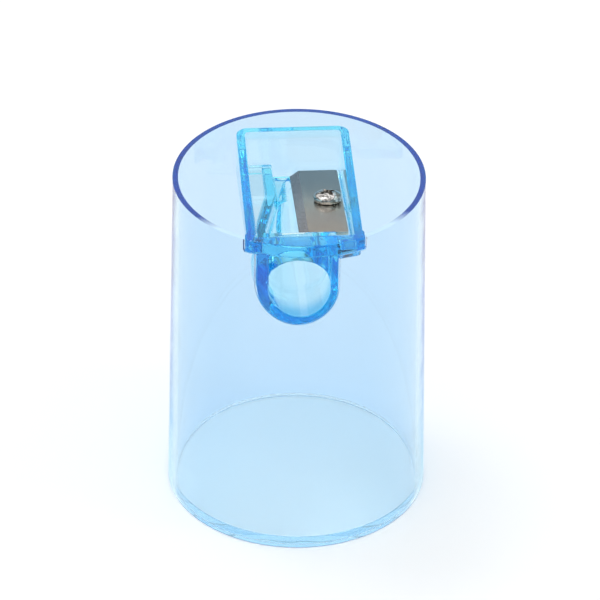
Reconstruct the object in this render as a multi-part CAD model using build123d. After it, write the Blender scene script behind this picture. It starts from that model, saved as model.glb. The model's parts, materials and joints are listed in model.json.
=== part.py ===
"""Hand-held pencil sharpener that stands on a round, see-through container for its shavings.

A sharpener body hangs in a stepped notch in the front of the container and lifts out upwards.
It carries a steel blade on a pitched seat, held by one screw.
Millimetres. The origin is the centre of the container's underside, +Z is up and the pencil
goes in from the front, along +Y.
"""
import os
from math import cos, radians, sin, tan

from build123d import *

# Container: a round wall that widens slightly towards its base, on a flat floor
CUP_HEIGHT = 59.0
CUP_TOP_R = 20.5
CUP_BASE_R = 21.6
CUP_WALL = 1.25
EDGE_CHAMFER = 0.2
FLOOR_THICKNESS = 1.5

# Room between the bodies
NOTCH_GAP = 0.12
SHELF_GAP = 0.1
INNER_R = 19.05  # what hangs inside the wall stays within this radius

# Pencil hole, the U-shaped tab round it, and the cone that the blade follows
HOLE_X = -1.15
HOLE_Z = 50.5
HOLE_R = 4.95
TAB_X = -1.45
TAB_Z = 50.75
TAB_R = 6.5
CONE_START_Y = -11.75
CONE_END_Y = 10.6
RECESS_R = 4.9
RECESS_BACK_R = 19.4  # distance of the recess's floor from the container's axis

# Blade, pitched down towards the rear by the cone's half angle
PITCH_DEG = 10.5
BLADE_LENGTH = 26.0
BLADE_WIDTH = 7.9
BLADE_THICKNESS = 0.6
BLADE_LEFT_X = -0.75
BLADE_REAR_Y = 13.15
BLADE_REAR_Z = 51.55  # top face at its rear end
CLIP_ACROSS = 1.6
CLIP_ALONG = 1.15
BLADE_CORNER_R = 0.5
BEVEL_WIDTH = 1.5
EDGE_THICKNESS = 0.06
BLADE_HOLE_R = 1.55

# Seat: a plate under the blade, its left edge set back from the cutting edge
SEAT_GAP = 0.08
SEAT_THICKNESS = 1.5
SEAT_LEFT_X = 0.3
SEAT_RIGHT_X = 8.6

# Sleeve: walls from the rim down to the plane of the seat, with a thick front bar and two ears
SLEEVE_X = -0.2  # its middle, a little to the left of the container's axis
SLEEVE_HALF_WIDTH = 9.28
SLEEVE_WALL = 1.4
SLEEVE_REAR_Y = 15.15
SLEEVE_REAR_WALL = 0.8
SLEEVE_REAR_BOTTOM_Z = 49.4
REAR_BEAD = 1.5  # thickness of the bead along the rear wall's top
REAR_BEAD_HEIGHT = 1.5
SLEEVE_CORNER_R = 1.9
OPENING_CORNER_R = 0.5
FRONT_BAR_Y = -17.3
EAR_HALF_WIDTH = 9.53
EAR_REAR_Y = -16.2
EAR_HEIGHT = 2.2

# Core: a shell round the cone, thickest on the left, with a shelf opposite the blade and a deep rib
SHELL = 1.6
SHELL_SHIFT = 0.7  # of the shell's outer face to the left, from the pencil's axis
SHELF_WALL = 1.4
SHELF_HEIGHT = 1.4  # above the seat plane
SHELF_THICKNESS = 1.1
ROOF_REAR_Y = -13.6
RIB_LEFT_X = -4.9
RIB_RIGHT_X = -3.65
RIB_START_Y = 1.5
RIB_BOTTOM_Z = 44.6
WEB_START_Y = 2.0
WEB_END_Y = 12.0
WEB_THICKNESS = 1.3

# Screw, square to the blade, and its boss
SCREW_X = 4.7
SCREW_ALONG = 13.0  # from the blade's rear end
THREAD_PITCH = 0.5
THREAD_TURNS = 6
THREAD_R = 1.3
THREAD_ROOT_R = 1.05
THREAD_TIP = 0.3
SCREW_BORE_R = 1.36
HEAD_R = 2.3
HEAD_RIM = 0.8
HEAD_HEIGHT = 1.65
CROWN_POINT = 0.62  # where the head's crown is measured, as a share of its radius
CROWN_DROP = 0.22
HEAD_GAP = 0.05
CROSS_WIDTH = 0.55
CROSS_LENGTH = 2.7
CROSS_DEPTH = 0.95
BOSS_R = 2.9
BOSS_DEPTH = 5.0

PITCH_SIN, PITCH_COS = sin(radians(PITCH_DEG)), cos(radians(PITCH_DEG))
SLOPE = tan(radians(PITCH_DEG))
FLARE = (CUP_BASE_R - CUP_TOP_R) / CUP_HEIGHT
EAR_BOTTOM_Z = CUP_HEIGHT - EAR_HEIGHT
CONE_TIP_Y = CONE_START_Y + HOLE_R / SLOPE
HOLE = (HOLE_X, HOLE_Z)
TAB = (TAB_X, TAB_Z)
PENCIL_AXIS = Axis((HOLE_X, 0, HOLE_Z), (0, 1, 0))
FAR = 60.0  # reaches past everything
OVERLAP = 0.5  # how far neighbouring volumes of one piece run into each other


def bore_r(y):
    """Radius of the pencil's space at y: the guide's, then the cone's."""
    return min(HOLE_R, (CONE_TIP_Y - y) * SLOPE)


def blade_plane(depth):
    """Plane depth below the blade's top face, with its Y running down to the rear.
    It starts at the rear end of the blade."""
    origin = (0, BLADE_REAR_Y - depth * PITCH_SIN, BLADE_REAR_Z - depth * PITCH_COS)
    return Plane(origin=origin, x_dir=(1, 0, 0), z_dir=(0, PITCH_SIN, PITCH_COS))


SEAT = blade_plane(BLADE_THICKNESS + SEAT_GAP)


def block(x, y, z):
    """Box between pairs of limits."""
    size = [pair[1] - pair[0] for pair in (x, y, z)]
    middle = [(pair[0] + pair[1]) / 2 for pair in (x, y, z)]
    return Pos(*middle) * Box(*size)


def column(points, bottom, top):
    """Upright prism on a plan outline."""
    return Pos(0, 0, bottom) * extrude(make_face(Polyline(*points, close=True)), top - bottom)


def below_seat(rise=0.0):
    """Everything below a plane that lies rise above the seat."""
    return SEAT * block((-FAR, FAR), (-FAR, FAR), (-FAR, rise))


def u_section(centre, radius, top_z):
    """U whose round bottom has this centre, in X and Z."""
    x, z = centre
    straight = Pos(x, (z + top_z) / 2) * Rectangle(2 * radius, top_z - z)
    return straight + Pos(x, z) * Circle(radius)


def along_y(section, front_y, rear_y):
    """Section drawn in X and Z, running from front_y back to rear_y."""
    rear = Plane(origin=(0, rear_y, 0), x_dir=(1, 0, 0), z_dir=(0, -1, 0))
    return extrude(rear * section, rear_y - front_y)


def turned(points):
    """Solid of revolution about the pencil hole's axis, from radius and y of each point."""
    outline = Polyline(*[(HOLE_X + r, y, HOLE_Z) for r, y in points], close=True)
    return revolve(make_face(outline), PENCIL_AXIS)


def cup_section(inner, top=CUP_HEIGHT):
    """Half section of the container's shape, from the radii of its inner face to its outer face."""
    inner_base, inner_top = inner
    outer_top = CUP_BASE_R - FLARE * top
    return make_face(
        Polyline((inner_base, 0), (CUP_BASE_R, 0), (outer_top, top), (inner_top, top), close=True)
    )


def cup_solid():
    """The container's outer shape, filled."""
    return revolve(Plane.XZ * cup_section((0, 0)), Axis.Z)


def container():
    """Flared wall with bevelled edges, and the stepped notch that the sharpener body hangs in."""
    profile = cup_section((CUP_BASE_R - CUP_WALL, CUP_TOP_R - CUP_WALL))
    bevelled = profile.vertices().sort_by(Axis.Y)[2:]
    bevelled.append(profile.vertices().sort_by(Axis.X)[-1])
    wall = revolve(Plane.XZ * chamfer(bevelled, EDGE_CHAMFER), Axis.Z)
    reach = EAR_HALF_WIDTH + NOTCH_GAP
    notch = along_y(u_section(TAB, TAB_R + NOTCH_GAP, CUP_HEIGHT + OVERLAP), -FAR, 0)
    shelf_z = EAR_BOTTOM_Z - SHELF_GAP
    notch += block((SLEEVE_X - reach, SLEEVE_X + reach), (-FAR, 0), (shelf_z, FAR))
    return wall - notch


def base_disc():
    """Floor, its edge sloped like the wall that it is set into."""
    edge = CUP_BASE_R - CUP_WALL
    lid = (edge - FLARE * FLOOR_THICKNESS, FLOOR_THICKNESS)
    outline = Polyline((0, 0), (edge, 0), lid, (0, FLOOR_THICKNESS), close=True)
    return revolve(Plane.XZ * make_face(outline), Axis.Z)


def rounded_plan(half_width, front_y, rear_y, rear_corner, front_corner=None):
    """Plan centred on the sleeve, its rear corners rounded, and its front ones where asked."""
    middle = Pos(SLEEVE_X, (front_y + rear_y) / 2)
    plan = middle * Rectangle(2 * half_width, rear_y - front_y)
    plan = fillet(plan.vertices().sort_by(Axis.Y)[2:], rear_corner)
    if front_corner:
        plan = fillet(plan.vertices().sort_by(Axis.Y)[:2], front_corner)
    return plan


def opening(rear_wall):
    """Plan of the sleeve's opening, in front of a rear wall of this thickness."""
    return rounded_plan(
        SLEEVE_HALF_WIDTH - SLEEVE_WALL,
        FRONT_BAR_Y,
        SLEEVE_REAR_Y - rear_wall,
        OPENING_CORNER_R,
        OPENING_CORNER_R,
    )


def sleeve():
    """Walls from the rim down to the seat plane, with the rear bead, the front bar and its ears."""
    outside = rounded_plan(SLEEVE_HALF_WIDTH, -INNER_R, SLEEVE_REAR_Y, SLEEVE_CORNER_R)
    walls = Pos(0, 0, SLEEVE_REAR_BOTTOM_Z) * extrude(outside, CUP_HEIGHT - SLEEVE_REAR_BOTTOM_Z)
    walls &= Cylinder(INNER_R, 2 * FAR)
    rear_y = SLEEVE_REAR_Y - SLEEVE_REAR_WALL
    walls -= below_seat() & block((-FAR, FAR), (-FAR, rear_y), (-FAR, FAR))
    ends = (SLEEVE_X - EAR_HALF_WIDTH, SLEEVE_X + EAR_HALF_WIDTH)
    bar = block(ends, (-FAR, EAR_REAR_Y), (EAR_BOTTOM_Z, CUP_HEIGHT))
    walls += bar & cup_solid()
    bead_bottom = CUP_HEIGHT - REAR_BEAD_HEIGHT
    walls -= extrude(opening(SLEEVE_REAR_WALL), bead_bottom)
    return walls - extrude(opening(REAR_BEAD), FAR)


def guide():
    """Tab that fills the notch, and the tube behind it, closed over the pencil by a roof."""
    tab = along_y(u_section(TAB, TAB_R, EAR_BOTTOM_Z + OVERLAP), -FAR, -INNER_R + OVERLAP)
    tube = along_y(u_section(TAB, TAB_R, CUP_HEIGHT), -INNER_R - OVERLAP, ROOF_REAR_Y)
    tube &= Cylinder(INNER_R, 2 * FAR)
    return (tab & cup_solid()) + (tube & below_seat(SHELF_HEIGHT))


def cone_edge():
    """Left edge of the pencil's space in plan, from the roof back to the rib."""
    return [
        (HOLE_X - HOLE_R, ROOF_REAR_Y - OVERLAP),
        (HOLE_X - HOLE_R, CONE_START_Y),
        (HOLE_X - bore_r(RIB_START_Y), RIB_START_Y),
    ]


def shelf():
    """Plate from the left wall to the cone's edge and along the rib, with the wall below it."""
    edge = cone_edge()
    rear_y = SLEEVE_REAR_Y - OVERLAP
    wall_x = SLEEVE_X - SLEEVE_HALF_WIDTH + SLEEVE_WALL - OVERLAP
    rear_edge = [(RIB_RIGHT_X, RIB_START_Y), (RIB_RIGHT_X, rear_y)]
    front_y = edge[0][1]
    plan = edge + rear_edge + [(wall_x, rear_y), (wall_x, front_y)]
    plate = column(plan, HOLE_Z, CUP_HEIGHT)
    plate &= below_seat(SHELF_HEIGHT) - below_seat(SHELF_HEIGHT - SHELF_THICKNESS)
    side = edge + [(x - SHELF_WALL, y) for x, y in reversed(edge)]
    return plate + (column(side, HOLE_Z, CUP_HEIGHT) & below_seat(SHELF_HEIGHT))


def trough():
    """Shell round the cone, open above, and the rib that runs on from it to the rear wall."""
    front_y = ROOF_REAR_Y - OVERLAP
    end_r = bore_r(WEB_END_Y) + SHELL
    start_r = HOLE_R + SHELL
    outline = [(0, front_y), (start_r, front_y), (start_r, CONE_START_Y)]
    shell = turned(outline + [(end_r, WEB_END_Y), (0, WEB_END_Y)])
    shell = (Pos(-SHELL_SHIFT, 0, 0) * shell) & below_seat()
    edge = cone_edge()
    slot = [
        (edge[0][0], ROOF_REAR_Y),
        (SEAT_LEFT_X, ROOF_REAR_Y),
        (SEAT_LEFT_X, WEB_START_Y),
        (RIB_RIGHT_X, WEB_START_Y),
        (RIB_RIGHT_X, RIB_START_Y),
        edge[1],
    ]
    shell -= column(slot, HOLE_Z, FAR)
    rib = block(
        (RIB_LEFT_X, RIB_RIGHT_X),
        (RIB_START_Y, SLEEVE_REAR_Y - OVERLAP),
        (RIB_BOTTOM_Z, CUP_HEIGHT),
    )
    return shell + (rib & below_seat(SHELF_HEIGHT)) + shelf()


def seat():
    """Plate under the blade that joins the trough to the right wall, with the screw's boss."""
    front, rear = -2 * FAR / 3, SLEEVE_REAR_Y - OVERLAP - BLADE_REAR_Y
    plate = SEAT * block((SEAT_LEFT_X, SEAT_RIGHT_X), (front, rear), (-SEAT_THICKNESS, 0))
    plate &= Cylinder(INNER_R, 2 * FAR)
    web = block(
        (RIB_RIGHT_X - OVERLAP, SEAT_LEFT_X + OVERLAP),
        (WEB_START_Y, WEB_END_Y),
        (HOLE_Z - WEB_THICKNESS, HOLE_Z),
    )
    boss = SEAT * Pos(SCREW_X, -SCREW_ALONG, -BOSS_DEPTH / 2) * Cylinder(BOSS_R, BOSS_DEPTH)
    return plate + web + boss


def sharpener_body():
    """Sleeve, guide, trough and seat in one moulding, bored for the pencil and the screw."""
    body = sleeve() + guide() + trough() + seat()
    body -= turned(
        [
            (0, -FAR),
            (HOLE_R, -FAR),
            (HOLE_R, CONE_START_Y),
            (bore_r(CONE_END_Y), CONE_END_Y),
            (0, CONE_END_Y),
        ]
    )
    recess = along_y(u_section(HOLE, RECESS_R, EAR_BOTTOM_Z), -FAR, 0)
    body -= recess - Cylinder(RECESS_BACK_R, 3 * FAR)
    bore = Cylinder(SCREW_BORE_R, 4 * BOSS_DEPTH)
    return body - SEAT * Pos(SCREW_X, -SCREW_ALONG, 0) * bore


def blade():
    """Flat steel blade, ground along its left edge, with a clipped corner and a screw hole."""
    left, right = BLADE_LEFT_X, BLADE_LEFT_X + BLADE_WIDTH
    outline = make_face(
        Polyline(
            (left, -BLADE_LENGTH),
            (right, -BLADE_LENGTH),
            (right, 0),
            (left + CLIP_ACROSS, 0),
            (left, -CLIP_ALONG),
            close=True,
        )
    )
    outline = fillet(outline.vertices().sort_by(Axis.X)[-2:], BLADE_CORNER_R)
    flat = extrude(outline, -BLADE_THICKNESS)
    edge_top = EDGE_THICKNESS - BLADE_THICKNESS
    ground = Polyline((left + BEVEL_WIDTH, 0), (left, edge_top), (left - 1, edge_top), (left - 1, 0), close=True)
    flat -= along_y(make_face(ground), -FAR, FAR)
    flat -= Pos(SCREW_X, -SCREW_ALONG, 0) * Cylinder(BLADE_HOLE_R, 3 * BLADE_THICKNESS)
    return blade_plane(0) * flat


def blade_screw():
    """Pan-head screw with a cross recess; its thread is a row of ridges."""
    head_bottom = HEAD_GAP
    top = head_bottom + HEAD_HEIGHT
    thread_top = -BLADE_THICKNESS - SEAT_GAP
    thread = []
    for turn in range(THREAD_TURNS):
        z = thread_top - turn * THREAD_PITCH
        thread += [(THREAD_ROOT_R, z), (THREAD_R, z - THREAD_PITCH / 2)]
    foot = thread_top - THREAD_TURNS * THREAD_PITCH
    shank = [(HEAD_R, head_bottom), (THREAD_ROOT_R, head_bottom)] + thread
    shank += [(THREAD_ROOT_R, foot), (THREAD_ROOT_R - THREAD_TIP, foot - THREAD_TIP), (0, foot - THREAD_TIP)]
    rim = (HEAD_R, head_bottom + HEAD_RIM)
    crown = ThreePointArc(rim, (HEAD_R * CROWN_POINT, top - CROWN_DROP), (0, top))
    body = revolve(Plane.XZ * make_face(crown + Polyline(rim, *shank, (0, top))), Axis.Z)
    for turn in (0, 90):
        body -= Pos(0, 0, top) * Rot(0, 0, turn) * Box(CROSS_LENGTH, CROSS_WIDTH, 2 * CROSS_DEPTH)
    return blade_plane(0) * Pos(SCREW_X, -SCREW_ALONG, 0) * body


PIECES = (container, base_disc, sharpener_body, blade, blade_screw)

os.makedirs("parts", exist_ok=True)
for make in PIECES:
    export_step(make(), f"parts/{make.__name__}.step")
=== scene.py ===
"""Looks of the pencil sharpener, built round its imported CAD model."""
import json
import math

import bmesh
import bpy
from mathutils import Matrix, Vector


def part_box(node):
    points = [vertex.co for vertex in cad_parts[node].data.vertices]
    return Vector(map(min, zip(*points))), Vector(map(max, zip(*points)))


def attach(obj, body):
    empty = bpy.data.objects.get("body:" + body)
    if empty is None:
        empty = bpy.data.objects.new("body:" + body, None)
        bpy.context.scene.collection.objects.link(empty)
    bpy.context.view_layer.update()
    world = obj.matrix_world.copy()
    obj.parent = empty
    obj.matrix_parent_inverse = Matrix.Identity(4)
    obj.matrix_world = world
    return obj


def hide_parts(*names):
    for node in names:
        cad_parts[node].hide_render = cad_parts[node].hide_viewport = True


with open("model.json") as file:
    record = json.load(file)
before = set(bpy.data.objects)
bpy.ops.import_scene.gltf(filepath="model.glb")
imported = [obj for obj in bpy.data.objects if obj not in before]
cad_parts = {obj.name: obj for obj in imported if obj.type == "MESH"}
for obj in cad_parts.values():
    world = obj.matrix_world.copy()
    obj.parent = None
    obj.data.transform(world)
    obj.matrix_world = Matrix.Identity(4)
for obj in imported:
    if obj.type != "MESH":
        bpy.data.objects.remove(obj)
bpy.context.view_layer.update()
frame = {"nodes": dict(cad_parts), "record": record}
MM = 0.001

# Container, in millimetres like everything below; its size is the frame's
CUP_LOW, CUP_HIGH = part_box("container")
CUP_HEIGHT = CUP_HIGH.z / MM
CUP_BASE_R = min(-CUP_LOW.x, CUP_HIGH.x, -CUP_LOW.y, CUP_HIGH.y) / MM
CUP_TOP_R = 20.5
CUP_WALL = 1.25
WALL_DRAFT = 0.35  # by how much the wall is thinner at the rim
FLARE = (CUP_BASE_R - CUP_TOP_R) / CUP_HEIGHT
FLOOR_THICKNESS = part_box("base_disc")[1].z / MM
WELD_GAP = 0.03  # between the wall and the floor that is set into it

# Notch in its front: a U below a wider step
SLOT_X = -1.45
SLOT_Z = 50.75
SLOT_R = 6.66
STEP_X = -0.2
STEP_Z = 56.66
STEP_HALF_WIDTH = 9.65

# Strips of faces that the wall and the floor are made of
STEP_PARTS = 4
ARC_PARTS = 48
WALL_PARTS = 240
LEAST_COLUMN = 0.4  # width of a strip across the notch's round bottom
WALL_LEVELS = [0, 14, 28, 42]  # all below the notch
FLOOR_PARTS = 256

# Width by which each piece's edges are rounded, and how the body is remeshed and smoothed
WALL_ROUND = 0.22
FLOOR_ROUND = 0.12
BLADE_ROUND = 0.04
SCREW_ROUND = 0.045
SHARP_DEG = 35  # edges sharper than this are rounded
BODY_VOXEL = 0.16
BODY_PASSES = 5
BODY_SMOOTHING = 0.5

# Clean-up of a CAD node's mesh
WELD_DISTANCE = 0.0005
FLAT_DEG = 0.5  # faces that lean less than this against each other are made one

# Front end of the shell round the sharpener body's cone, where the guide runs into it
SHELL_X = -1.85
SHELL_Z = 50.5
SHELL_R = 6.55
SHELL_FRONT_Y = -14.1
EASE_FRONT_R = 19.4  # this far from the container's axis the guide starts to widen
EASE_REACH = 1.05  # a little past the shell's front end, as a share of the way to it
EASE_LEAST_R = 5.85  # from the shell's axis; the guide's bore lies inside this
EASE_TOP_Z = 53.0  # below the front bar

# Blade plane
PITCH = math.radians(10.5)
BLADE_REAR = Vector((0, 13.15, 51.55))
BLADE_TURN = Matrix.Rotation(-PITCH, 4, "X")

# Screw: its place on the blade, then radii and heights from the blade's top face
SCREW_X = 4.7
SCREW_ALONG = 13.0
SCREW_ORIGIN = BLADE_REAR + BLADE_TURN @ Vector((SCREW_X, -SCREW_ALONG, 0))
SHANK_TOP = -0.68
SHANK_FOOT = -3.68
SHANK_R = 1.05
THREAD_PITCH = 0.5
THREAD_DEPTH = 0.24
THREAD_RINGS = 72
SCREW_PARTS = 72  # round its axis
TIP_PROFILE = [(0.3, -3.96), (0.75, -3.93), (1.0, SHANK_FOOT)]
NECK_PROFILE = [(SHANK_R, SHANK_TOP), (1.1, -0.1), (1.1, 0.05)]
RIM_PROFILE = [(1.9, 0.05), (2.16, 0.09), (2.27, 0.2), (2.3, 0.36), (2.3, 0.72), (2.27, 0.88)]
CROWN_PROFILE = [(2.17, 1.05), (2.0, 1.2), (1.72, 1.35), (1.38, 1.47), (1.0, 1.57)]
CROWN_PROFILE += [(0.6, 1.64), (0.25, 1.675)]

# Its cross recess
RECESS_TURN = math.radians(28)  # as it was last tightened
RECESS_TOP = 1.9  # above the head, so that the cut is clean
RECESS_DEPTH = 1.25
RECESS_STEP = 0.05  # by which one arm is shallower than the other
ARM_TOP = (1.7, 0.42)  # half length and half width
ARM_FOOT = (0.5, 0.22)
RECESS_CORE = [(0.02, 0.5), (0.62, 1.15), (0.78, RECESS_TOP)]  # where the arms cross
RECESS_CORE_PARTS = 24

# Which faces take a piece's second material
EDGE_LOWEST = 40.0  # the wall's rim and the notch's edges lie above this
EDGE_LEAN = 0.85  # and face outwards or inwards less than this
BEVEL_LEAN = (-0.9, -0.15)  # how far the faces of the blade's bevel lean to the left
BEVEL_RISE = 0.5  # and how far they face upwards at least
RECESS_R = 1.7
HEAD_EDGE_Z = 0.3  # no part of the recess lies below this
CROWN_Z = 1.68
CROWN_BEND = 0.115  # drop of the head's domed top for each square millimetre of distance
SKIN = 0.06  # faces less deep than this belong to the dome

# Clear plastics: surface tints at their front and rear, where one gives way to the other, and
# what each millimetre absorbs, from red to blue. The wall's and body's deeper tints are painted
# shade, the rim's pale front painted light
# Painted shade: the wall's rear tint is deeper than its front's
WALL_TINT_AND_SHADE = ((0.91, 0.94, 0.98), (0.65, 0.80, 0.955))
# The rim's front tint is painted light: little light gets through there, so it shows the pale
# look that refraction gives the rim's front
RIM_TINT_AND_PAINTED_LIGHT = ((0.52, 0.76, 0.94), (0.98, 1.0, 1.0))
FLOOR_TINTS = ((0.93, 0.97, 0.99), (0.93, 0.97, 0.99))
# Painted shade: the body's front end takes a deep tint, and the front bar a deeper colour
BODY_TINT_AND_SHADE = ((0.33, 0.68, 0.9), (1.0, 1.0, 1.0))
BAR_SHADE = (0.16, 0.52, 0.84)
CUP_SPAN = (-19.0, 16.0)  # along Y, from front to rear
BODY_SPAN = (-18.8, -16.0)
BAR_DEPTH = (-17.2, -14.5)  # the same for the front bar
BAR_SPAN = (48.5, 52.5)  # along Z, where the bar's painted shade takes over
PAINTED_PALE_SPAN = (-14.5, -11.0)  # along Y, where the rim's painted pale front gives way to clear plastic
PAINTED_PALE_SHARE = 0.15  # of the light that passes through the rim's painted pale front
CUP_ABSORBS = (0.06, 0.012, 0.003)
FLOOR_ABSORBS = (0.008, 0.002, 0.0005)
BODY_ABSORBS = (0.15, 0.02, 0.002)
ABSORB_MARGIN = 1.02  # keeps every channel of the absorbing colour above zero
CLEAR_IOR = 1.49
BODY_GLOSS = 0.2

# Unevenness of the clear plastics
CUP_WAVE = 7.0  # width of a wave
BODY_WAVE = 3.0
WAVE_DEPTH = 0.02
WAVE_STRENGTH = 0.6
SCUFFS_PER_MM = (2.5, 2.5, 0.35)
SCUFFED = (0.58, 0.75)  # of the scuffs' pattern, from clean to scuffed
SCUFF_ROUGHNESS = (0.0, 0.06)

# Steels, each a pair of colours that a pattern mixes
REAR_STEEL = ((0.40, 0.425, 0.425), (0.45, 0.465, 0.455))
FRONT_STEEL = ((0.46, 0.435, 0.395), (0.54, 0.50, 0.44))
STEEL_SPAN = (9.0, -2.0)  # along Y, from the blade's rear colours to its front ones
SPECK_STEEL = (0.26, 0.25, 0.24)
BEVEL_STEEL = ((0.30, 0.30, 0.32), (0.40, 0.395, 0.41))
HEAD_STEEL = ((0.2, 0.19, 0.18), (0.68, 0.66, 0.635))
# Painted shade: the cross recess's steel is darkened, with lighter patches
RECESS_SHADE = ((0.04, 0.035, 0.03), (0.4, 0.38, 0.35))
PATTERN_SPAN = (0.3, 0.7)  # where nearly all values of a noise pattern lie
FULL = (0, 1)  # range of a factor that blends two colours

# Stage
FLOOR_REACH = 3000
STAGE_Z = -0.1
STAGE_GREY = 0.85
SKY = ((0.0, 0.5), (0.35, 0.58), (0.5, 1.0), (0.7, 1.3), (1.0, 1.3))  # height and brightness

# Camera, aimed at the middle of the container; its distances are in metres
AZIMUTH = math.radians(-4.06)
ELEVATION = math.radians(34.8)
ROLL = math.radians(0.65)
DISTANCE = 0.7471
CLIP = (0.05, 20)
LENS = 271
SENSOR = 36
SHIFT_X = 1 / 240
SHIFT_Y = 13 / 300
BOUNCES = 400  # light runs a long way inside the container's rim


# ---------------------------------------------------------------- mesh helpers


def to_object(name, verts, faces):
    """Mesh object from points in millimetres."""
    mesh = bpy.data.meshes.new(name)
    mesh.from_pydata([Vector(v) * MM for v in verts], [], faces)
    mesh.validate()
    obj = bpy.data.objects.new(name, mesh)
    bpy.context.scene.collection.objects.link(obj)
    return obj


def edit(obj):
    """Opens an object's mesh for editing."""
    bm = bmesh.new()
    bm.from_mesh(obj.data)
    return bm


def store(bm, obj):
    """Writes an edited mesh back, with its normals outwards."""
    bmesh.ops.recalc_face_normals(bm, faces=bm.faces)
    bm.to_mesh(obj.data)
    bm.free()


def face_outwards(obj):
    """Turns an object's faces outwards."""
    store(edit(obj), obj)


def apply_modifiers(obj):
    """Replaces an object's mesh by what its modifiers make of it."""
    depsgraph = bpy.context.evaluated_depsgraph_get()
    mesh = bpy.data.meshes.new_from_object(obj.evaluated_get(depsgraph))
    obj.modifiers.clear()
    obj.data = mesh


def round_edges(obj, width, segments=3, angle=SHARP_DEG):
    """Rounds every sharp edge by width in millimetres and shades the rest smooth."""
    bevel = obj.modifiers.new("round", "BEVEL")
    bevel.width = width * MM
    bevel.segments = segments
    bevel.limit_method = "ANGLE"
    bevel.angle_limit = math.radians(angle)
    bevel.harden_normals = False
    bevel.use_clamp_overlap = True
    apply_modifiers(obj)
    for face in obj.data.polygons:
        face.use_smooth = True
    normals = obj.modifiers.new("normals", "WEIGHTED_NORMAL")
    normals.keep_sharp = True
    normals.weight = 100  # large faces stay flat
    apply_modifiers(obj)


def cad_copy(name, node):
    """Copy of a CAD node's mesh, welded, with its flat faces whole."""
    obj = bpy.data.objects.new(name, frame["nodes"][node].data.copy())
    bpy.context.scene.collection.objects.link(obj)
    obj.data.materials.clear()
    bm = edit(obj)
    bmesh.ops.remove_doubles(bm, verts=bm.verts, dist=WELD_DISTANCE * MM)
    flat = math.radians(FLAT_DEG)
    bmesh.ops.dissolve_limit(bm, angle_limit=flat, verts=bm.verts, edges=bm.edges)
    store(bm, obj)
    return obj


# ---------------------------------------------------------------- container


def outer_r(z):
    """Radius of the wall's outside at a height."""
    return CUP_TOP_R + FLARE * (CUP_HEIGHT - z)


def wall_at(z):
    """Thickness of the wall, which the mould's draft makes thinner towards the rim."""
    return CUP_WALL - WALL_DRAFT * z / CUP_HEIGHT


def notch_columns():
    """Offsets across the notch, with the height of the wall to the left and right of each,
    and the points of the notch's edge between each and the next."""
    columns = []
    ends = (STEP_X - STEP_HALF_WIDTH, STEP_X + STEP_HALF_WIDTH)
    left, right = SLOT_X - SLOT_R, SLOT_X + SLOT_R
    for i in range(STEP_PARTS + 1):
        x = ends[0] + (left - ends[0]) * i / STEP_PARTS
        before = CUP_HEIGHT if i == 0 else STEP_Z
        after = SLOT_Z if i == STEP_PARTS else STEP_Z
        columns.append((x, before, after, []))
    for i in range(1, ARC_PARTS):
        turn = math.pi * i / ARC_PARTS
        x = SLOT_X - SLOT_R * math.cos(turn)
        z = SLOT_Z - SLOT_R * math.sin(turn)
        if min(x - columns[-1][0], right - x) < LEAST_COLUMN:
            columns[-1][3].append((x, z))
        else:
            columns.append((x, z, z, []))
    for i in range(STEP_PARTS + 1):
        x = right + (ends[1] - right) * i / STEP_PARTS
        before = SLOT_Z if i == 0 else STEP_Z
        after = CUP_HEIGHT if i == STEP_PARTS else STEP_Z
        columns.append((x, before, after, []))
    return columns


def build_wall():
    """Flared wall as upright strips, each as high as the notch leaves it."""
    columns = notch_columns()
    count = len(columns) + WALL_PARTS - 1
    tops = [(c[1], c[2]) for c in columns] + [(CUP_HEIGHT, CUP_HEIGHT)] * (WALL_PARTS - 1)

    def place(index, z, radius, x=None):
        if index < len(columns):
            x = columns[index][0] if x is None else x
            return (x, -math.sqrt(radius * radius - x * x), z)
        start = math.asin(columns[-1][0] / radius)
        end = 2 * math.pi + math.asin(columns[0][0] / radius)
        turn = start + (end - start) * (index - len(columns) + 1) / WALL_PARTS
        return (radius * math.sin(turn), -radius * math.cos(turn), z)

    verts, ids = [], {}

    def vertex(index, z, inside, x=None):
        index %= count
        key = (index, round(z, 6), inside, x)
        if key not in ids:
            ids[key] = len(verts)
            verts.append(place(index, z, outer_r(z) - (wall_at(z) if inside else 0), x))
        return ids[key]

    faces = []
    for left in range(count):
        right = (left + 1) % count
        heights = []
        for column in (left, right):
            heights.append(sorted({*WALL_LEVELS, *tops[column]}))
        left_top, right_top = tops[left][1], tops[right][0]
        between = columns[left][3] if left < len(columns) else []
        for inside in (False, True):
            for low, high in zip(WALL_LEVELS, WALL_LEVELS[1:]):
                quad = [(left, low), (right, low), (right, high), (left, high)]
                faces.append([vertex(c, z, inside) for c, z in quad])
            above_left = [z for z in heights[0] if WALL_LEVELS[-1] <= z <= left_top]
            above_right = [z for z in heights[1] if WALL_LEVELS[-1] <= z <= right_top]
            ring = [(left, z, None) for z in reversed(above_left)]
            ring += [(right, z, None) for z in above_right]
            ring += [(left, z, x) for x, z in reversed(between)]
            faces.append([vertex(c, z, inside, x) for c, z, x in ring])
        lower = [(left, 0, None), (right, 0, None)]
        upper = [(left, left_top, None)] + [(left, z, x) for x, z in between]
        upper.append((right, right_top, None))
        for edge in (lower, upper):
            for (c, z, x), (next_c, next_z, next_x) in zip(edge, edge[1:]):
                faces.append(
                    [
                        vertex(c, z, False, x),
                        vertex(next_c, next_z, False, next_x),
                        vertex(next_c, next_z, True, next_x),
                        vertex(c, z, True, x),
                    ]
                )
        low, high = sorted(tops[left])
        if high > low:
            faces.append(
                [
                    vertex(left, low, False),
                    vertex(left, high, False),
                    vertex(left, high, True),
                    vertex(left, low, True),
                ]
            )
    wall = to_object("container_wall", verts, faces)
    face_outwards(wall)
    round_edges(wall, WALL_ROUND, segments=4)
    return wall


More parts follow.
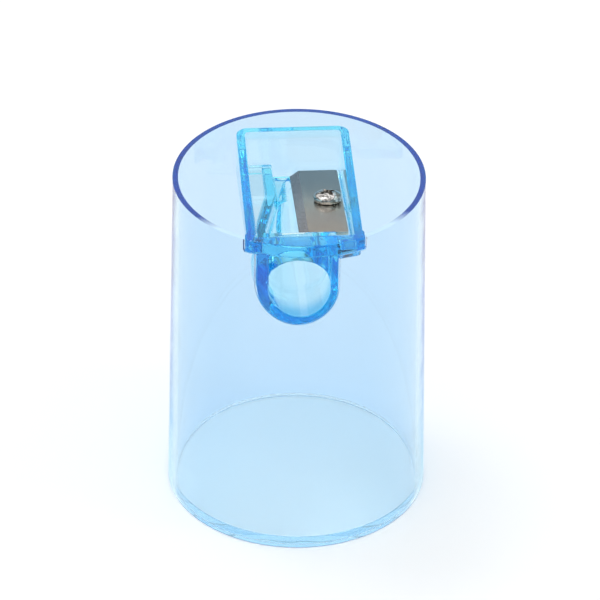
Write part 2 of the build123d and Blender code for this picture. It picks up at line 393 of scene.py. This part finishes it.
def is_edge(face):
    """Whether a face of the wall belongs to its rim or to the notch's edges."""
    x, y, z = face.center / MM
    lean = abs(face.normal.x * x + face.normal.y * y) / math.hypot(x, y)
    return z > EDGE_LOWEST and lean < EDGE_LEAN


def build_floor():
    """Floor disc with eased edges, just clear of the wall round it."""
    inner_r = outer_r(0) - CUP_WALL - WELD_GAP
    top_r = outer_r(FLOOR_THICKNESS) - CUP_WALL - WELD_GAP
    verts, faces = [], []
    for i in range(FLOOR_PARTS):
        turn = 2 * math.pi * i / FLOOR_PARTS
        for radius, z in ((inner_r, 0), (top_r, FLOOR_THICKNESS)):
            verts.append((radius * math.sin(turn), -radius * math.cos(turn), z))
    for i in range(FLOOR_PARTS):
        j = (i + 1) % FLOOR_PARTS
        faces.append([2 * i, 2 * j, 2 * j + 1, 2 * i + 1])
    faces.append([2 * i for i in reversed(range(FLOOR_PARTS))])
    faces.append([2 * i + 1 for i in range(FLOOR_PARTS)])
    disc = to_object("container_floor", verts, faces)
    face_outwards(disc)
    round_edges(disc, FLOOR_ROUND)
    return disc


# ---------------------------------------------------------------- sharpener body


def ease_step(obj):
    """Makes the guide's outside run evenly out to the wider shell behind it."""
    for vertex in obj.data.vertices:
        x, y, z = vertex.co / MM
        front_y = -math.sqrt(max(EASE_FRONT_R ** 2 - x * x, 0))
        share = (y - front_y) / (SHELL_FRONT_Y - front_y)
        radius = math.hypot(x - SHELL_X, z - SHELL_Z)
        on_outside = z < EASE_TOP_Z and EASE_LEAST_R < radius < SHELL_R
        if on_outside and 0 < share < EASE_REACH:
            grow = 1 + min(share, 1) * (SHELL_R / radius - 1)
            place = (SHELL_X + grow * (x - SHELL_X), y, SHELL_Z + grow * (z - SHELL_Z))
            vertex.co = Vector(place) * MM


def add_remesh(obj):
    """Adds an even remesh of the body's voxel size."""
    remesh = obj.modifiers.new("remesh", "REMESH")
    remesh.mode = "VOXEL"
    remesh.voxel_size = BODY_VOXEL * MM
    remesh.use_smooth_shade = True


def build_body():
    """Sharpener body with every edge softened, as moulding leaves it."""
    obj = cad_copy("sharpener_body_detail", "sharpener_body")
    add_remesh(obj)
    apply_modifiers(obj)
    ease_step(obj)
    add_remesh(obj)
    smooth = obj.modifiers.new("soften", "SMOOTH")
    smooth.factor = BODY_SMOOTHING
    smooth.iterations = BODY_PASSES
    apply_modifiers(obj)
    return obj


# ---------------------------------------------------------------- screw


def on_blade(verts):
    """Points given square to the blade's top face, moved to the screw's place on it."""
    return [SCREW_ORIGIN + BLADE_TURN @ Vector(v) for v in verts]


def ridge(z, share):
    """How far the helical thread stands out at a height and a share of a turn."""
    if not SHANK_FOOT < z < SHANK_TOP:
        return 0
    phase = ((z - SHANK_FOOT) / THREAD_PITCH - share) % 1.0
    return THREAD_DEPTH * (1 - abs(2 * phase - 1))


def lathe(profile, around, threaded=False):
    """Closed surface from radius and height, with or without the screw's thread."""
    verts, faces = [], []
    for radius, z in profile:
        for i in range(around):
            turn = 2 * math.pi * i / around
            r = radius + (ridge(z, i / around) if threaded else 0)
            verts.append((r * math.cos(turn), r * math.sin(turn), z))
    for k in range(len(profile) - 1):
        for i in range(around):
            j = (i + 1) % around
            a, b = k * around, (k + 1) * around
            faces.append([a + i, a + j, b + j, b + i])
    faces.append(list(range(around)))
    faces.append([(len(profile) - 1) * around + i for i in range(around)])
    return verts, faces


def recess_arm(turn):
    """One arm of the cross recess, tapered downwards; turn 1 lies square to turn 0."""
    spin = Matrix.Rotation(RECESS_TURN, 3, "Z")
    foot = RECESS_TOP - RECESS_DEPTH + RECESS_STEP * turn
    verts = []
    for z, (length, width) in ((RECESS_TOP, ARM_TOP), (foot, ARM_FOOT)):
        for x, y in ((-length, -width), (length, -width), (length, width), (-length, width)):
            verts.append(spin @ Vector((-y, x, z) if turn else (x, y, z)))
    faces = [[0, 1, 2, 3], [7, 6, 5, 4]]
    faces += [[i, i + 4, (i + 1) % 4 + 4, (i + 1) % 4] for i in range(4)]
    return verts, faces


def build_screw():
    """Pan-head screw with a tapered cross recess and a helical thread."""
    profile = list(TIP_PROFILE)
    for k in range(1, THREAD_RINGS):
        profile.append((SHANK_R, SHANK_FOOT + (SHANK_TOP - SHANK_FOOT) * k / THREAD_RINGS))
    profile += NECK_PROFILE + RIM_PROFILE + CROWN_PROFILE
    verts, faces = lathe(profile, SCREW_PARTS, threaded=True)
    screw = to_object("blade_screw_detail", on_blade(verts), faces)
    face_outwards(screw)
    for verts, faces in (recess_arm(0), recess_arm(1), lathe(RECESS_CORE, RECESS_CORE_PARTS)):
        cutter = to_object("cutter", on_blade(verts), faces)
        face_outwards(cutter)
        cut = screw.modifiers.new("recess", "BOOLEAN")
        cut.operation = "DIFFERENCE"
        cut.solver = "EXACT"
        cut.object = cutter
        apply_modifiers(screw)
        bpy.data.objects.remove(cutter)
    round_edges(screw, SCREW_ROUND, segments=2, angle=30)
    return screw


# ---------------------------------------------------------------- materials


class Shading:
    """A material with one Principled shader, and the procedural patterns that drive it."""

    def __init__(self, name):
        self.material = bpy.data.materials.new(name)
        self.material.use_nodes = True
        self.tree = self.material.node_tree
        self.tree.nodes.clear()
        self.output = self.add("ShaderNodeOutputMaterial")
        self.shader = self.add("ShaderNodeBsdfPrincipled")
        self.link(self.shader.outputs[0], self.output.inputs["Surface"])
        self.place = self.add("ShaderNodeTexCoord").outputs["Object"]

    def add(self, kind, **settings):
        node = self.tree.nodes.new(kind)
        for key, value in settings.items():
            setattr(node, key, value)
        return node

    def link(self, output, socket):
        self.tree.links.new(output, socket)

    def set(self, **values):
        for key, value in values.items():
            self.shader.inputs[key.replace("_", " ")].default_value = value

    def mapped(self, per_mm):
        """Object coordinates in millimetres, scaled along each axis."""
        mapping = self.add("ShaderNodeMapping")
        mapping.inputs["Scale"].default_value = [value / MM for value in per_mm]
        self.link(self.place, mapping.inputs["Vector"])
        return mapping.outputs[0]

    def noise(self, per_mm, detail=2.0, distortion=0.0):
        """Cloudy pattern from 0 to 1, with per_mm features to the millimetre on each axis."""
        noise = self.add("ShaderNodeTexNoise")
        noise.inputs["Scale"].default_value = 1
        noise.inputs["Detail"].default_value = detail
        noise.inputs["Distortion"].default_value = distortion
        self.link(self.mapped(per_mm), noise.inputs["Vector"])
        return noise.outputs[0]

    def remap(self, value, before, after):
        """Carries a range of values over to another, and stops at its ends."""
        remap = self.add("ShaderNodeMapRange")
        remap.inputs["From Min"].default_value, remap.inputs["From Max"].default_value = before
        remap.inputs["To Min"].default_value, remap.inputs["To Max"].default_value = after
        self.link(value, remap.inputs["Value"])
        return remap.outputs[0]

    def axis(self, name):
        """Object coordinate along one axis, in millimetres."""
        split = self.add("ShaderNodeSeparateXYZ")
        self.link(self.mapped((1, 1, 1)), split.inputs[0])
        return split.outputs[name]

    def blend(self, factor, first, second):
        """Colour between two colours, or between colour outputs."""
        mix = self.add("ShaderNodeMix", data_type="RGBA")
        self.link(factor, mix.inputs[0])
        for value, socket in ((first, mix.inputs[6]), (second, mix.inputs[7])):
            if isinstance(value, tuple):
                socket.default_value = (*value, 1)
            else:
                self.link(value, socket)
        return mix.outputs[2]

    def bump(self, height, depth_mm, strength):
        """Small unevenness of the surface, depth_mm deep at full strength."""
        bump = self.add("ShaderNodeBump")
        bump.inputs["Strength"].default_value = strength
        bump.inputs["Distance"].default_value = depth_mm * MM
        self.link(height, bump.inputs["Height"])
        self.link(bump.outputs[0], self.shader.inputs["Normal"])

    def absorb(self, per_mm):
        """Tint that deepens with the length of plastic looked through."""
        absorb = self.add("ShaderNodeVolumeAbsorption")
        density = ABSORB_MARGIN * max(per_mm) / MM
        tint = [1 - rate / MM / density for rate in per_mm]
        absorb.inputs["Color"].default_value = (*tint, 1)
        absorb.inputs["Density"].default_value = density
        self.link(absorb.outputs[0], self.output.inputs["Volume"])


def clear_plastic(name, per_mm, tints, span, wave=CUP_WAVE, painted_pale_front=False, bar=None, gloss=0.5):
    """Clear moulded plastic with faint waves and fine scuffs.

    Its surface tint changes from the first of tints to the second along span; on the wall and the
    body this is partly painted shade. The rim material's front lets little light through and
    shows its pale tint instead, as painted light. When bar is given, a painted shade colour takes
    over in the upper part of the front end.
    """
    plastic = Shading(name)
    plastic.set(Transmission_Weight=1, IOR=CLEAR_IOR, Specular_IOR_Level=gloss)
    tint = plastic.blend(plastic.remap(plastic.axis("Y"), span, FULL), *tints)
    # Painted shade: a deep colour over the front bar
    if bar:
        depth = plastic.remap(plastic.axis("Y"), BAR_DEPTH, FULL)
        height = plastic.remap(plastic.axis("Z"), BAR_SPAN, FULL)
        tint = plastic.blend(height, tint, plastic.blend(depth, bar, tints[1]))
    plastic.link(tint, plastic.shader.inputs["Base Color"])
    scuffs = plastic.noise(SCUFFS_PER_MM, detail=6)
    rough = plastic.remap(scuffs, SCUFFED, SCUFF_ROUGHNESS)
    plastic.link(rough, plastic.shader.inputs["Roughness"])
    # Painted light: the front passes little light and shows its pale tint
    if painted_pale_front:
        clear = plastic.remap(plastic.axis("Y"), PAINTED_PALE_SPAN, (PAINTED_PALE_SHARE, 1))
        plastic.link(clear, plastic.shader.inputs["Transmission Weight"])
    waves = plastic.noise([1 / wave] * 3, detail=1)
    plastic.bump(waves, WAVE_DEPTH, WAVE_STRENGTH)
    plastic.absorb(per_mm)
    return plastic.material


def blade_steel():
    """Rolled strip steel: a fine grain, cloudy patches and a few specks."""
    steel = Shading("blade_steel")
    steel.set(Metallic=1)
    clouds = steel.noise((0.25, 0.12, 0.12), detail=3, distortion=0.4)
    grain = steel.noise((9.0, 0.5, 0.5), detail=3)
    patches = steel.remap(clouds, PATTERN_SPAN, FULL)
    rear = steel.blend(patches, *REAR_STEEL)
    front = steel.blend(patches, *FRONT_STEEL)
    base = steel.blend(steel.remap(steel.axis("Y"), STEEL_SPAN, FULL), rear, front)
    specks = steel.remap(steel.noise((1.6, 1.6, 1.6), detail=5), (0.62, 0.72), (0, 0.35))
    steel.link(steel.blend(specks, base, SPECK_STEEL), steel.shader.inputs["Base Color"])
    steel.link(steel.remap(grain, PATTERN_SPAN, (0.18, 0.26)), steel.shader.inputs["Roughness"])
    steel.bump(grain, depth_mm=0.004, strength=0.35)
    return steel.material


def edge_steel():
    """Ground bevel: fine marks square to the cutting edge."""
    steel = Shading("blade_edge_steel")
    steel.set(Metallic=1)
    marks = steel.noise((0.6, 14.0, 14.0), detail=3)
    base = steel.blend(steel.remap(marks, PATTERN_SPAN, FULL), *BEVEL_STEEL)
    steel.link(base, steel.shader.inputs["Base Color"])
    steel.link(steel.remap(marks, PATTERN_SPAN, (0.2, 0.34)), steel.shader.inputs["Roughness"])
    steel.bump(marks, depth_mm=0.004, strength=0.5)
    return steel.material


def screw_steel(name, colours):
    """Nickel-plated steel with small pits and handling marks.

    In the cross recess its darker colours are painted shade.
    """
    steel = Shading(name)
    steel.set(Metallic=1)
    marks = steel.noise((2.2, 2.2, 2.2), detail=6, distortion=0.8)
    base = steel.blend(steel.remap(marks, (0.42, 0.58), FULL), *colours)
    steel.link(base, steel.shader.inputs["Base Color"])
    steel.link(steel.remap(marks, (0.35, 0.7), (0.06, 0.2)), steel.shader.inputs["Roughness"])
    steel.bump(marks, depth_mm=0.02, strength=0.7)
    return steel.material


# ---------------------------------------------------------------- pieces


def build_blade():
    """Blade with its edges eased."""
    blade = cad_copy("blade_detail", "blade")
    round_edges(blade, BLADE_ROUND)
    return blade


def is_bevel(face):
    """Whether a face of the blade belongs to its ground edge."""
    return BEVEL_LEAN[0] < face.normal.x < BEVEL_LEAN[1] and face.normal.z > BEVEL_RISE


def is_recess(face):
    """Whether a face of the screw lies inside its cross recess."""
    x, y, z = BLADE_TURN.inverted() @ (face.center / MM - SCREW_ORIGIN)
    radius = math.hypot(x, y)
    crown_z = CROWN_Z - CROWN_BEND * radius * radius
    return radius < RECESS_R and HEAD_EDGE_Z < z < crown_z - SKIN


container_plastic = clear_plastic("container_plastic", CUP_ABSORBS, WALL_TINT_AND_SHADE, CUP_SPAN)
# Rim and notch edges, with a painted pale front
rim_plastic = clear_plastic(
    "container_rim_plastic", CUP_ABSORBS, RIM_TINT_AND_PAINTED_LIGHT, CUP_SPAN, painted_pale_front=True
)
floor_plastic = clear_plastic("floor_plastic", FLOOR_ABSORBS, FLOOR_TINTS, CUP_SPAN)
# Its front end and front bar carry painted shade
body_plastic = clear_plastic(
    "body_plastic",
    BODY_ABSORBS,
    BODY_TINT_AND_SHADE,
    BODY_SPAN,
    wave=BODY_WAVE,
    bar=BAR_SHADE,
    gloss=BODY_GLOSS,
)
wall = build_wall()
body = build_body()
blade = build_blade()
screw = build_screw()
head_steel = screw_steel("screw_steel", HEAD_STEEL)
# Painted shade inside the cross recess
recess_shade_steel = screw_steel("screw_recess_painted_shade", RECESS_SHADE)
PIECES = (
    (wall, "container", [container_plastic, rim_plastic], "container_plastic"),
    (build_floor(), "base_disc", [floor_plastic], "container_plastic"),
    (body, "sharpener_body", [body_plastic], "body_plastic"),
    (blade, "blade", [blade_steel(), edge_steel()], "blade_steel"),
    (screw, "blade_screw", [head_steel, recess_shade_steel], "screw_steel"),
)
owners = frame["record"]["behaviour"]["bodies"]
for piece, node, materials, slot in PIECES:
    piece.data.materials.clear()
    for material in materials:
        piece.data.materials.append(material)
    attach(piece, next(name for name, nodes in owners.items() if node in nodes))
    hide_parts(node)
for piece, in_second_material in ((wall, is_edge), (blade, is_bevel), (screw, is_recess)):
    for face in piece.data.polygons:
        face.material_index = int(in_second_material(face))

# ---------------------------------------------------------------- stage, light and camera

corners = [(-1, -1), (1, -1), (1, 1), (-1, 1)]
corners = [(x * FLOOR_REACH, y * FLOOR_REACH, STAGE_Z) for x, y in corners]
floor = to_object("studio_floor", corners, [(0, 1, 2, 3)])
paper = Shading("studio_floor")
paper.set(Base_Color=(STAGE_GREY,) * 3 + (1,), Roughness=0.9, Specular_IOR_Level=0)
floor.data.materials.append(paper.material)

world = bpy.data.worlds.new("studio")
bpy.context.scene.world = world
world.use_nodes = True
sky = world.node_tree
background = sky.nodes["Background"]
place = sky.nodes.new("ShaderNodeTexCoord")
split = sky.nodes.new("ShaderNodeSeparateXYZ")
sky.links.new(place.outputs["Generated"], split.inputs[0])
ramp = sky.nodes.new("ShaderNodeValToRGB")
sky.links.new(split.outputs["Z"], ramp.inputs[0])
while len(ramp.color_ramp.elements) < len(SKY):
    ramp.color_ramp.elements.new(0.5)
for element, (height, light) in zip(ramp.color_ramp.elements, SKY):
    element.position = height
    element.color = (light, light, light, 1)
sky.links.new(ramp.outputs[0], background.inputs["Color"])
background.inputs["Strength"].default_value = 1.0


def soft_box(name, position, size, power):
    """Large soft lamp turned towards the object."""
    data = bpy.data.lights.new(name, "AREA")
    data.shape = "RECTANGLE"
    data.size, data.size_y = size
    data.energy = power
    lamp = bpy.data.objects.new(name, data)
    bpy.context.scene.collection.objects.link(lamp)
    lamp.location = position
    aim = Vector((0, 0, CUP_HEIGHT * MM)) - Vector(position)
    lamp.rotation_euler = aim.to_track_quat("-Z", "Y").to_euler()


soft_box("key", position=(-0.35, 0.25, 1.05), size=(0.32, 0.25), power=1.6)
soft_box("fill", position=(0.75, -0.3, 0.9), size=(0.2, 0.3), power=0.8)

camera_data = bpy.data.cameras.new("camera")
camera = bpy.data.objects.new("camera", camera_data)
bpy.context.scene.collection.objects.link(camera)
bpy.context.scene.camera = camera
camera_data.sensor_width = SENSOR
camera_data.lens = LENS
camera_data.shift_x = SHIFT_X
camera_data.shift_y = SHIFT_Y
camera_data.clip_start, camera_data.clip_end = CLIP
back = Vector(
    (
        math.sin(AZIMUTH) * math.cos(ELEVATION),
        -math.cos(AZIMUTH) * math.cos(ELEVATION),
        math.sin(ELEVATION),
    )
)
aim = Vector((0, 0, CUP_HEIGHT * MM / 2))
right = Vector((math.cos(AZIMUTH), math.sin(AZIMUTH), 0))
up = back.cross(right)
tilted_right = right * math.cos(ROLL) + up * math.sin(ROLL)
tilted_up = up * math.cos(ROLL) - right * math.sin(ROLL)
turn = Matrix((tilted_right, tilted_up, back)).transposed()
camera.matrix_world = Matrix.LocRotScale(aim + back * DISTANCE, turn, None)

scene = bpy.context.scene
scene.view_settings.view_transform = "Standard"
scene.cycles.max_bounces = BOUNCES
scene.cycles.transmission_bounces = BOUNCES
scene.cycles.glossy_bounces = BOUNCES
scene.cycles.blur_glossy = 0
